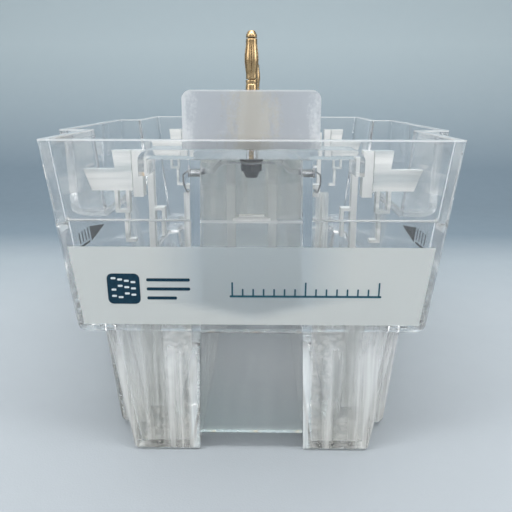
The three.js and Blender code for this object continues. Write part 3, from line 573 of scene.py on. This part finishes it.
def plug_cage(end_name):
    low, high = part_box(f"{end_name}_plug_cage")
    centre = ((low.x + high.x) / 2, (low.y + high.y) / 2)
    bulge = (high.y - low.y) / 2
    ring = bulge * RING_SHARE
    length = high.z - low.z
    pitch = 2 * math.pi / LEAVES

    def corner(inset, share, angle):
        radius = cage_radius(share, ring, bulge) - inset
        return (centre[0] + radius * math.cos(angle), centre[1] + radius * math.sin(angle),
                low.z + length * share)

    def add_cell(shape, leaf, station, step):
        """A small patch of a leaf: its outer and inner skin, and the edges that it shares with no other."""
        shares = (station / CAGE_STATIONS, (station + 1) / CAGE_STATIONS)
        slotted = RING_MARGIN < (shares[0] + shares[1]) / 2 < 1 - RING_MARGIN
        half = pitch / 2 * (1 - SLOT_SHARE if slotted else 1)
        angles = [leaf * pitch - half + 2 * half * (step + k) / LEAF_STEPS for k in (0, 1)]
        corners = [shape.verts.new(corner(inset, share, angle))
                   for inset in (0, CAGE_WALL) for share in shares for angle in angles]
        faces = [(0, 1, 3, 2), (4, 6, 7, 5)]
        if station == 0:
            faces.append((0, 4, 5, 1))
        if station == CAGE_STATIONS - 1:
            faces.append((2, 3, 7, 6))
        if slotted and step == 0:
            faces.append((0, 2, 6, 4))
        if slotted and step == LEAF_STEPS - 1:
            faces.append((1, 5, 7, 3))
        for face in faces:
            shape.faces.new([corners[i] for i in face])

    def build(shape):
        for leaf in range(LEAVES):
            for station in range(CAGE_STATIONS):
                for step in range(LEAF_STEPS):
                    add_cell(shape, leaf, station, step)
        bmesh.ops.remove_doubles(shape, verts=shape.verts, dist=WELD_DISTANCE)

    mesh = mesh_from(f"{end_name}_cage_leaves", build)
    piece = add_piece(f"{end_name}_cage_leaves", mesh, GOLD, f"{end_name}_cage")
    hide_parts(f"{end_name}_plug_cage")


for end_name in ENDS:
    plug_pin(end_name)
    plug_cage(end_name)

# ---- Flat prints -------------------------------------------------------------------------------

PRINT_THICKNESS = 0.05 * MM


def flat_print(shape, outline, place):
    """Adds a thin closed slab over an outline; place(u, v, lift) gives the point."""
    under = [shape.verts.new(place(u, v, 0.0)) for u, v in outline]
    over = [shape.verts.new(place(u, v, PRINT_THICKNESS)) for u, v in outline]
    shape.faces.new(over)
    shape.faces.new(list(reversed(under)))
    for i in range(len(outline)):
        j = (i + 1) % len(outline)
        shape.faces.new((under[i], under[j], over[j], over[i]))


def rounded_rectangle(x0, x1, z0, z1, radius, steps=6):
    outline = []
    corners = ((x1 - radius, z1 - radius, 0), (x0 + radius, z1 - radius, 90),
               (x0 + radius, z0 + radius, 180), (x1 - radius, z0 + radius, 270))
    for cx, cz, start in corners:
        for step in range(steps + 1):
            angle = math.radians(start + 90 * step / steps)
            outline.append((cx + radius * math.cos(angle), cz + radius * math.sin(angle)))
    return outline


# ---- Label graphics: a gel-lane badge, three rules and a thin scale ----------------------------

LABEL_LOW, LABEL_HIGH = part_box("front_label")
FILM_THICKNESS = 0.3 * MM
GRAPHICS_Z = LABEL_LOW.z + 0.47 * (LABEL_HIGH.z - LABEL_LOW.z)  # middle of the graphics

BADGE_LEFT = -53 * MM
BADGE_SIDE = 12 * MM
BADGE_CORNER = 2 * MM
LANES = 4
LANE_PITCH = 2.4 * MM
LANE_INSET = 1.5 * MM  # from the badge's left side
LANE_TOP = 4.6 * MM  # above the middle of the badge
BANDS = 3
BAND_PITCH = 3 * MM
BAND_DROP = 0.5 * MM  # a band is up to three of these lower than its row
BAND_WIDTH = 1.8 * MM
BAND_HEIGHT = 0.8 * MM
BAND_CORNER = 0.35 * MM

RULE_LEFT = BADGE_LEFT + BADGE_SIDE + 2.5 * MM
RULE_LENGTHS = (16 * MM, 16 * MM, 11 * MM)
RULE_TOP = 4.2 * MM  # of the highest rule, above the middle
RULE_PITCH = 3.6 * MM
RULE_HEIGHT = 1.2 * MM
RULE_CORNER = 0.5 * MM

SCALE_LEFT = -8 * MM
SCALE_RIGHT = 48 * MM
SCALE_DROP = 2.8 * MM  # from the middle down to the scale's line
SCALE_HEIGHT = 0.8 * MM
SCALE_CORNER = 0.35 * MM
TICK_MARGIN = 1 * MM
TICK_STEPS = 14
TICK_WIDTH = 0.6 * MM
TICK_HEIGHT = 3 * MM
TICK_CORNER = 0.2 * MM
LONG_TICK_EVERY = 7
LONG_TICK_HEIGHT = 5.6 * MM


def label_point(x, z, lift):
    """A point on the label's slanted front, x from its middle and z above the floor."""
    share = (z - LABEL_LOW.z) / (LABEL_HIGH.z - LABEL_LOW.z)
    bottom = LABEL_HIGH.y - FILM_THICKNESS
    return Vector((x, bottom + (LABEL_LOW.y - bottom) * share - lift, z))


def on_label(x, z, lift):
    return label_point(x, z, PRINT_THICKNESS + lift)


def on_badge(x, z, lift):
    return label_point(x, z, 3 * PRINT_THICKNESS + lift)


def label_badge(shape):
    half = BADGE_SIDE / 2
    outline = rounded_rectangle(BADGE_LEFT, BADGE_LEFT + BADGE_SIDE, GRAPHICS_Z - half, GRAPHICS_Z + half,
                                BADGE_CORNER)
    flat_print(shape, outline, on_label)


def label_lanes(shape):
    for lane in range(LANES):
        left = BADGE_LEFT + LANE_INSET + lane * LANE_PITCH
        for band in range(BANDS):
            drop = (lane * 5 + band * 7) % 4 * BAND_DROP
            top = GRAPHICS_Z + LANE_TOP - band * BAND_PITCH - drop
            outline = rounded_rectangle(left, left + BAND_WIDTH, top - BAND_HEIGHT, top, BAND_CORNER)
            flat_print(shape, outline, on_badge)


def label_rules(shape):
    for row, length in enumerate(RULE_LENGTHS):
        top = GRAPHICS_Z + RULE_TOP - row * RULE_PITCH
        outline = rounded_rectangle(RULE_LEFT, RULE_LEFT + length, top - RULE_HEIGHT, top, RULE_CORNER)
        flat_print(shape, outline, on_label)


def label_scale(shape):
    line = GRAPHICS_Z - SCALE_DROP
    half = SCALE_HEIGHT / 2
    outline = rounded_rectangle(SCALE_LEFT, SCALE_RIGHT, line - half, line + half, SCALE_CORNER)
    flat_print(shape, outline, on_label)
    pitch = (SCALE_RIGHT - SCALE_LEFT - 2 * TICK_MARGIN) / TICK_STEPS
    half = TICK_WIDTH / 2
    for tick in range(TICK_STEPS + 1):
        middle = SCALE_LEFT + TICK_MARGIN + tick * pitch
        height = LONG_TICK_HEIGHT if tick % LONG_TICK_EVERY == 0 else TICK_HEIGHT
        outline = rounded_rectangle(middle - half, middle + half, line, line + height, TICK_CORNER)
        flat_print(shape, outline, on_label)


LABEL_PRINTS = (
    ("label_badge", label_badge, INK),
    ("label_lanes", label_lanes, PALE_INK),
    ("label_rules", label_rules, INK),
    ("label_scale", label_scale, TEAL_INK),
)
for print_name, build_print, ink in LABEL_PRINTS:
    add_piece(print_name, mesh_from(print_name, build_print), ink, "tank", False)

# ---- Level marks on the side walls: an arrow, and four strokes over a line ---------------------

SIDE_INNER_X = 70.1 * MM  # inner face of a side wall at the rim, from the middle plane
SIDE_DRAFT = 0.1014  # how far the face leans out for each metre of height
PRINT_GAP = 0.03 * MM  # air between wall and print, so that the wall's end doesn't show it twice
MARK_TOP = RIM_Z - 36 * MM
MARK_LOW = MARK_TOP - 6 * MM
ARROW_START = FRONT_Y + 32.5 * MM
ARROW_LENGTH = 20.5 * MM
STROKES = 4
STROKE_PITCH = 3.6 * MM
STROKE_GAP = 2.4 * MM  # from the arrow to the nearest stroke
STROKE_WIDTH = 1.0 * MM
STROKE_LIFT = 1.6 * MM  # from the underside of the line to the foot of a stroke
LINE_HEIGHT = 0.8 * MM
MARK_CORNER = 0.3 * MM


def level_marks(side_name, side):
    def place(y, z, lift):
        face = SIDE_INNER_X - SIDE_DRAFT * (RIM_Z - z)
        return Vector((side * (face - PRINT_GAP - lift), y, z))

    def build(shape):
        arrow_tip = (ARROW_START + ARROW_LENGTH, (MARK_TOP + MARK_LOW) / 2)
        flat_print(shape, [(ARROW_START, MARK_TOP), arrow_tip, (ARROW_START, MARK_LOW)], place)
        end = ARROW_START - STROKE_GAP
        start = end - STROKE_WIDTH - (STROKES - 1) * STROKE_PITCH
        for stroke in range(STROKES):
            y = end - STROKE_WIDTH - stroke * STROKE_PITCH
            outline = rounded_rectangle(y, y + STROKE_WIDTH, MARK_LOW + STROKE_LIFT, MARK_TOP, MARK_CORNER)
            flat_print(shape, outline, place)
        flat_print(shape, rounded_rectangle(start, end, MARK_LOW, MARK_LOW + LINE_HEIGHT, MARK_CORNER), place)

    mesh = mesh_from(f"{side_name}_level_mark", build)
    add_piece(f"{side_name}_level_mark", mesh, SLATE_INK, "tank", False)


for side_name, side in SIDES:
    level_marks(side_name, side)

# ---- Studio ------------------------------------------------------------------------------------

SWEEP_DROP = 0.3 * MM  # air left under the clear feet
SWEEP_FRONT = -1.6
SWEEP_BACK = 0.75
SWEEP_RADIUS = 0.35
SWEEP_ARC_STEPS = 24
SWEEP_HEIGHT = 1.6
SWEEP_HALF_WIDTH = 2.2
# Painted shade: the floor darkens behind the tank, the sweep is darkest where it turns up into the back, and
# it grows lighter again higher up.
SWEEP_COLOURS_AND_SHADE = (  # distance along the floor and then up the back, and the colour there
    (-0.25, (0.345, 0.372, 0.396, 1)),
    (0.06, (0.318, 0.353, 0.378, 1)),
    (0.17, (0.275, 0.318, 0.348, 1)),
    (0.27, (0.146, 0.194, 0.233, 1)),
    (0.58, (0.130, 0.175, 0.212, 1)),
    (0.95, (0.300, 0.356, 0.379, 1)),
)
LIGHTS = (  # name, place, target, size in metres and power in watts
    ("overhead", (0.0, -0.1, 1.0), (0, 0, 0.05), (1.3, 0.9), 6.6),
    ("front_strip", (0.0, -0.45, 1.0), (0, 0, 0.1), (1.5, 0.10), 4.2),
    ("rear_strip", (0.0, 0.25, 1.0), (0, 0, 0.1), (1.5, 0.10), 4.2),
    ("front_key", (0.1, -1.2, 0.75), (0, 0, 0.08), (0.9, 0.6), 4.8),
    ("left_window", (-0.9, -0.5, 0.6), (0, 0, 0.08), (0.5, 0.8), 4),
    ("right_fill", (0.9, -0.4, 0.5), (0, 0, 0.08), (0.4, 0.7), 3),
)
SKY_COLOUR = (0.90, 0.95, 1.0, 1)
SKY_STRENGTH = 0.505
CLEAR_BOUNCES = 64  # light stays inside the clear walls for many reflections


def make_sweep_finish():
    finish = Finish("sweep")
    _, along, height = finish.axes()
    first, last = SWEEP_COLOURS_AND_SHADE[0][0], SWEEP_COLOURS_AND_SHADE[-1][0]
    share = finish.scale(finish.math("ADD", along, height), first, last, 0.0, 1.0)
    finish.colour(share, [((place - first) / (last - first), colour) for place, colour in SWEEP_COLOURS_AND_SHADE])
    finish.roughness(finish.noise(60), 0.85, 0.95)
    finish.bump(finish.noise(1500, 4), 0.3, 0.3 * MM)
    return finish.material


def add_sweep():
    """A floor that turns up into a back."""
    turn_y = SWEEP_BACK - SWEEP_RADIUS
    profile = [(SWEEP_FRONT, 0.0), (turn_y, 0.0)]
    for step in range(1, SWEEP_ARC_STEPS + 1):
        angle = math.pi / 2 * step / SWEEP_ARC_STEPS
        profile.append((turn_y + SWEEP_RADIUS * math.sin(angle), SWEEP_RADIUS * (1 - math.cos(angle))))
    profile.append((SWEEP_BACK, SWEEP_HEIGHT))

    def build(shape):
        sides = (-SWEEP_HALF_WIDTH, SWEEP_HALF_WIDTH)
        rows = [[shape.verts.new((x, y, z - SWEEP_DROP)) for x in sides] for y, z in profile]
        for low, high in zip(rows, rows[1:]):
            shape.faces.new((low[0], low[1], high[1], high[0]))

    mesh = mesh_from("sweep", build)
    mesh.materials.append(make_sweep_finish())
    for polygon in mesh.polygons:
        polygon.use_smooth = True
    sweep = bpy.data.objects.new("sweep", mesh)
    bpy.context.scene.collection.objects.link(sweep)


def add_light(name, place, target, size, power):
    data = bpy.data.lights.new(name, "AREA")
    data.shape = "RECTANGLE"
    data.size, data.size_y = size
    data.energy = power
    light = bpy.data.objects.new(name, data)
    light.location = place
    light.rotation_euler = (Vector(target) - Vector(place)).to_track_quat("-Z", "Y").to_euler()
    bpy.context.scene.collection.objects.link(light)


def add_world():
    world = bpy.data.worlds.new("studio")
    bpy.context.scene.world = world
    world.use_nodes = True
    background = world.node_tree.nodes["Background"]
    background.inputs["Color"].default_value = SKY_COLOUR
    background.inputs["Strength"].default_value = SKY_STRENGTH


add_sweep()
add_world()
for light in LIGHTS:
    add_light(*light)

bpy.context.scene.view_settings.view_transform = "Standard"
bpy.context.scene.cycles.max_bounces = CLEAR_BOUNCES
bpy.context.scene.cycles.transmission_bounces = CLEAR_BOUNCES
bpy.context.scene.cycles.glossy_bounces = CLEAR_BOUNCES
bpy.context.scene.cycles.diffuse_bounces = 8
bpy.context.scene.cycles.transparent_max_bounces = 16
